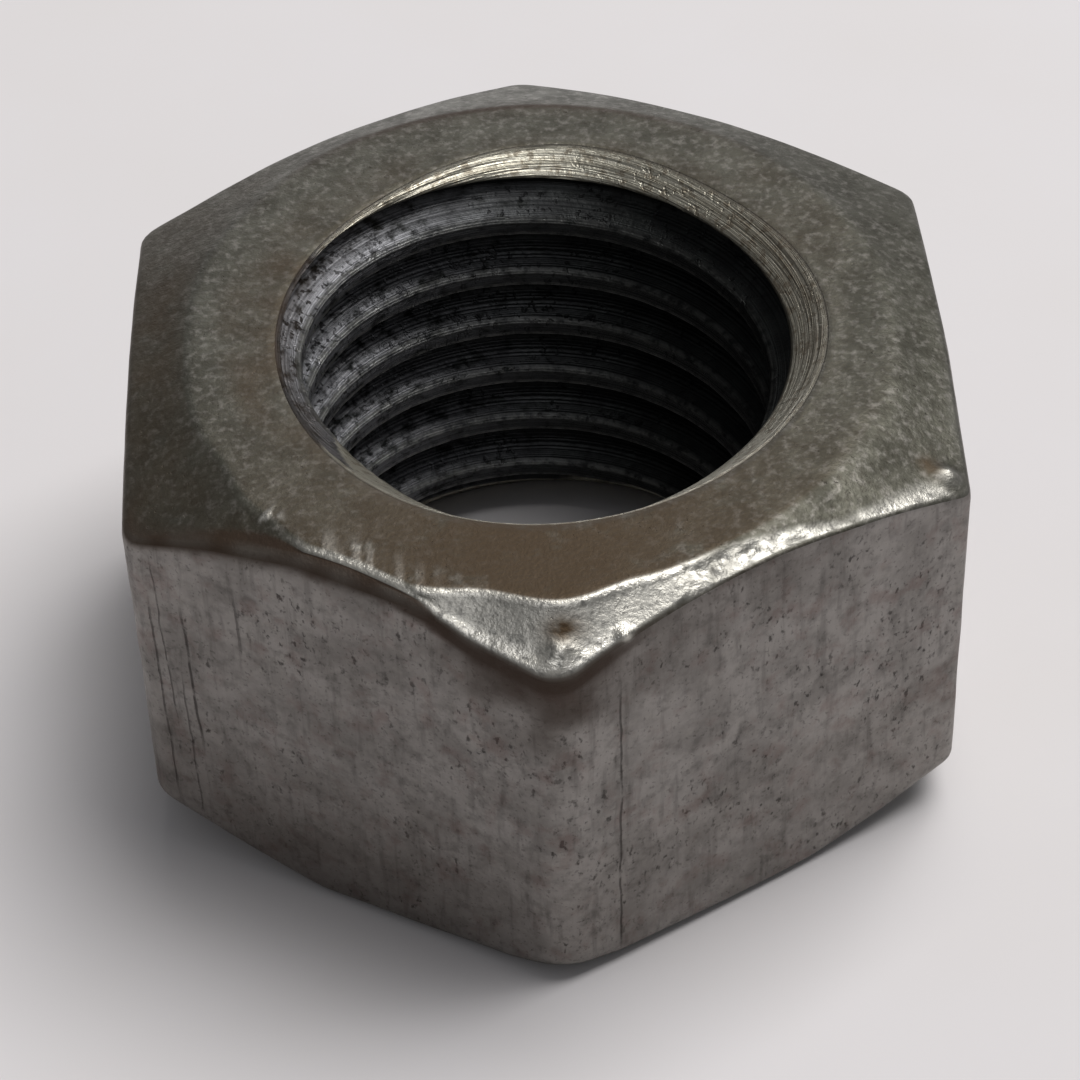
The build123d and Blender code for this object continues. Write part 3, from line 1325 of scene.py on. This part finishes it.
@dataclass
class Studio:
    """The floor, the soft lights and the camera, in millimetres and degrees."""

    aim: tuple[float, float, float] = (-0.18, -1.37, 9.14)
    centre: tuple[float, float, float] = (0, 0, 10.668)
    azimuth: float = -1.0
    elevation: float = 41.873
    distance: float = 166.64
    roll: float = -2.184
    lens: float = 114.14
    sensor: float = 36.0
    near_clip: float = 0.005         # in metres
    floor_tone: str = "dddbdd"
    world_tone: str = "dcdcdf"
    world_strength: float = 0.28
    floor_patch_tone: str = "d9d6d5"
    floor_radius: float = 4.0        # in metres, past all that the camera sees
    window: SoftLight = SoftLight("window", (0.365, 0.23, 0.99), 0.71, 11.8, "fffdfc")
    fills: tuple[SoftLight, ...] = (
        SoftLight("front_fill", (0.02, -0.62, 0.85), 0.50, 1.5, "fafaff"),
        SoftLight("back_fill", (-0.08, 1.15, 0.16), 0.50, 2.4, "fafaff"),
    )
    fill_lamps: list[bpy.types.Object] = field(default_factory=list)

    def camera(self) -> None:
        """Puts up the camera."""
        data = bpy.data.cameras.new("camera")
        data.lens = self.lens
        data.sensor_width = self.sensor
        data.clip_start = self.near_clip
        camera = bpy.data.objects.new("camera", data)
        bpy.context.collection.objects.link(camera)
        turn, rise = radians(self.azimuth), radians(self.elevation)
        away = Vector((sin(turn) * cos(rise), -cos(turn) * cos(rise), sin(rise)))
        place = Vector(self.centre) + away * self.distance
        ahead = Vector(self.aim) - place
        camera.rotation_mode = "QUATERNION"
        tilt = Quaternion((0, 0, 1), radians(self.roll))
        camera.rotation_quaternion = ahead.to_track_quat("-Z", "Y") @ tilt
        camera.location = place * MM
        bpy.context.scene.camera = camera

    def floor(self) -> bpy.types.Object:
        """Lays the pale floor.

        Returns:
            The floor, which isn't part of the nut.
        """
        disc = bmesh.new()
        bmesh.ops.create_circle(disc, cap_ends=True, segments=96, radius=self.floor_radius)
        mesh = bpy.data.meshes.new("floor")
        disc.to_mesh(mesh)
        disc.free()
        floor = bpy.data.objects.new("floor", mesh)
        bpy.context.collection.objects.link(floor)
        # Matt white paper, pressed smooth: pale, with no highlight, and only just uneven in tone. Its
        # fibres are too fine to show, and the unevenness is drawn about 17 mm wide.
        paper = bpy.data.materials.new("matt_paper")
        paper.use_nodes = True
        tree = paper.node_tree
        tree.nodes.clear()
        place = add_node(tree, "ShaderNodeTexCoord").outputs["Object"]
        grain = add_node(tree, "ShaderNodeTexNoise", {"Vector": place, "Scale": 60.0, "Detail": 3.0})
        tones = {6: linear(self.floor_tone), 7: linear(self.floor_patch_tone)}
        tint = add_node(tree, "ShaderNodeMix", {0: grain.outputs[0], **tones}, data_type="RGBA")
        shader = add_node(
            tree, "ShaderNodeBsdfPrincipled", {"Base Color": tint.outputs[2], "Roughness": 0.85},
        )
        add_node(tree, "ShaderNodeOutputMaterial", {"Surface": shader.outputs[0]})
        mesh.materials.append(paper)
        return floor

    def flag_floor(self, piece: bpy.types.Object) -> None:
        """Keeps the fills off the floor, as a flag on a stand does, so that they light the nut alone.

        Args:
            piece: The nut.
        """
        lit = bpy.data.collections.new("lit_by_fills")
        lit.objects.link(piece)
        for lamp in self.fill_lamps:
            lamp.light_linking.receiver_collection = lit

    def world(self) -> None:
        """Fills the room with soft light."""
        world = bpy.data.worlds.new("room")
        world.use_nodes = True
        background = world.node_tree.nodes["Background"].inputs
        background["Color"].default_value = linear(self.world_tone)
        background["Strength"].default_value = self.world_strength
        bpy.context.scene.world = world
        bpy.context.scene.view_settings.view_transform = "Standard"

    def build(self) -> bpy.types.Object:
        """Puts up the whole studio.

        Returns:
            The floor.
        """
        self.world()
        self.window.hang()
        self.fill_lamps = [fill.hang() for fill in self.fills]
        self.camera()
        return self.floor()


def finishes() -> list[SteelFinish]:
    """Lists the finishes in the order of the zones.

    Returns:
        One finish for each Zone.
    """
    return [
        # Carbon steel as hot forging leaves it: a thin skin of grey oxide scale, pitted where flakes were
        # pressed in and fell out, then wiped with oil. The eye gets dull, uneven grey with a warm cast,
        # dark specks and long scratches, and soft highlights with no clear reflection. The scale's own
        # grain is about 0.05 mm, too fine to show, and is drawn 0.22 mm wide.
        ForgedScale(
            name="forged_carbon_steel_oiled", tone="928e8a", patch_tone="807c78",
            patch=Pattern(2.6, 0.35, 0.65, 4), pit_tone="2f2b28",
            pit=Pattern(0.36, 0.585, 0.715, 2.5, (1, 1, 1.5), shift=5),
            speck=Pattern(0.216, 0.625, 0.705, 1, shift=6), pit_depth=0.04,
        ),
        # Carbon steel faced and chamfered on a lathe, then browned by air and handling. The eye gets a
        # darker olive grey, finely mottled, with bright bare steel where edges were knocked and rubbed.
        # The tool's marks are worn away; the tarnish's grain, about 0.1 mm, is drawn 0.22 mm wide.
        SteelFinish(
            name="turned_carbon_steel_tarnished", tone="5a5950", patch_tone="48473f",
            patch=Pattern(1.8, 0.35, 0.65, 4), pit_tone="332e27",
            pit=Pattern(0.24, 0.63, 0.76, 2.5, (1, 1, 1.5), shift=5),
            speck=Pattern(0.144, 0.67, 0.75, 1, shift=6), pit_depth=0.02,
            mottle=Pattern(0.42, 0.45, 0.75, 3), mottle_strength=0.42, rust_tone="493c2d",
        ),
        # Carbon steel cut by a tap under oil, with countersunk mouths. The eye gets a nearly black thread,
        # its tone part oil and part painted shade of the deep bore, with a painted highlight on its crests
        # and a painted lighter side where the light reaches it, and a bright ring with the drill's lines.
        # Those lines are about 0.1 mm apart, too fine to show, and are drawn 0.24 mm apart.
        TappedSteel(
            name="tapped_carbon_steel_oiled", tone="212322", patch_tone="161717",
            patch=Pattern(1.6, 0.35, 0.65, 4), pit_tone="0a0a0a",
            pit=Pattern(0.35, 0.56, 0.69, 2.5, (1, 1, 1.5), shift=5),
            speck=Pattern(0.21, 0.60, 0.68, 1, shift=6), pit_depth=0.05,
            mottle_strength=0.0, roughness=0.40,
        ),
    ]


def main() -> None:
    """Builds the studio and the nut, and reports the piece."""
    logging.basicConfig(level=logging.INFO, format="%(message)s")
    studio = Studio()
    studio.build()
    mount = next(mount for mount in frame["record"]["mounts"] if mount["name"] == "thread")
    body = NutBody(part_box("hex_nut"), mount["dims"]["r_mm"])
    piece = body.build()
    studio.flag_floor(piece)
    for finish in finishes():
        piece.data.materials.append(finish.build())
    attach(piece, "root")
    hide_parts("hex_nut")
    LOG.info("%s: %d vertices, %d faces", piece.name, len(piece.data.vertices), len(piece.data.polygons))


if __name__ == "__main__":
    main()
